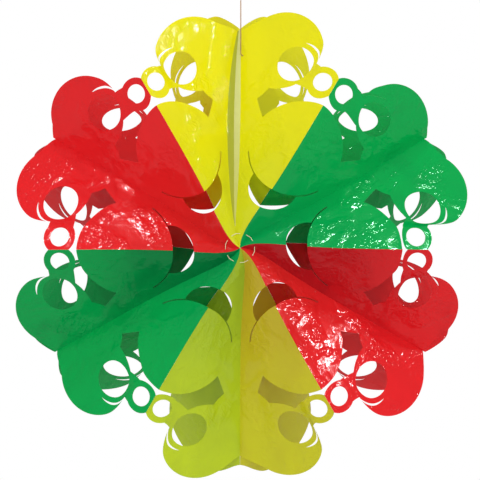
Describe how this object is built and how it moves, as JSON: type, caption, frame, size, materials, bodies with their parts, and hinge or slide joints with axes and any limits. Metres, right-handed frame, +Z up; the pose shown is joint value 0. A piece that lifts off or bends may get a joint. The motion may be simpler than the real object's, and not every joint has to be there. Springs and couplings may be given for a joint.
{
  "type": "hanging film flower decoration",
  "caption": "Hanging flower that opens like a fan, of die-cut folded sheets of glossy yellow, green and red plastic film glued into hollow ridges, with a thread to hang it.",
  "frame": {"origin": "top of the hanging loop, where the flower hangs", "axes": "+Z up, the flower's front faces -Y, +X to the right as it is seen from the front"},
  "size_m": [0.3985, 0.135, 0.4376],
  "materials": {
    "yellow_film": "glossy, slightly crinkled film",
    "green_film": "glossy, slightly crinkled film",
    "red_film": "glossy, slightly crinkled film",
    "hanging_thread": "twisted thread",
    "centre_thread": "twisted thread"
  },
  "bodies": {
    "root": {"yellow_top_left_sheet": "yellow_film", "yellow_top_right_sheet": "yellow_film", "yellow_bottom_right_sheet": "yellow_film", "yellow_bottom_left_sheet": "yellow_film", "green_right_upper_sheet": "green_film", "green_right_lower_sheet": "green_film", "green_left_lower_sheet": "green_film", "green_left_upper_sheet": "green_film", "red_right_upper_sheet": "red_film", "red_right_lower_sheet": "red_film", "red_left_lower_sheet": "red_film", "red_left_upper_sheet": "red_film", "centre_thread_loop": "centre_thread", "hanging_thread": "hanging_thread", "tie_knot": "hanging_thread", "hanging_loop": "hanging_thread"}
  },
  "joints": []
}
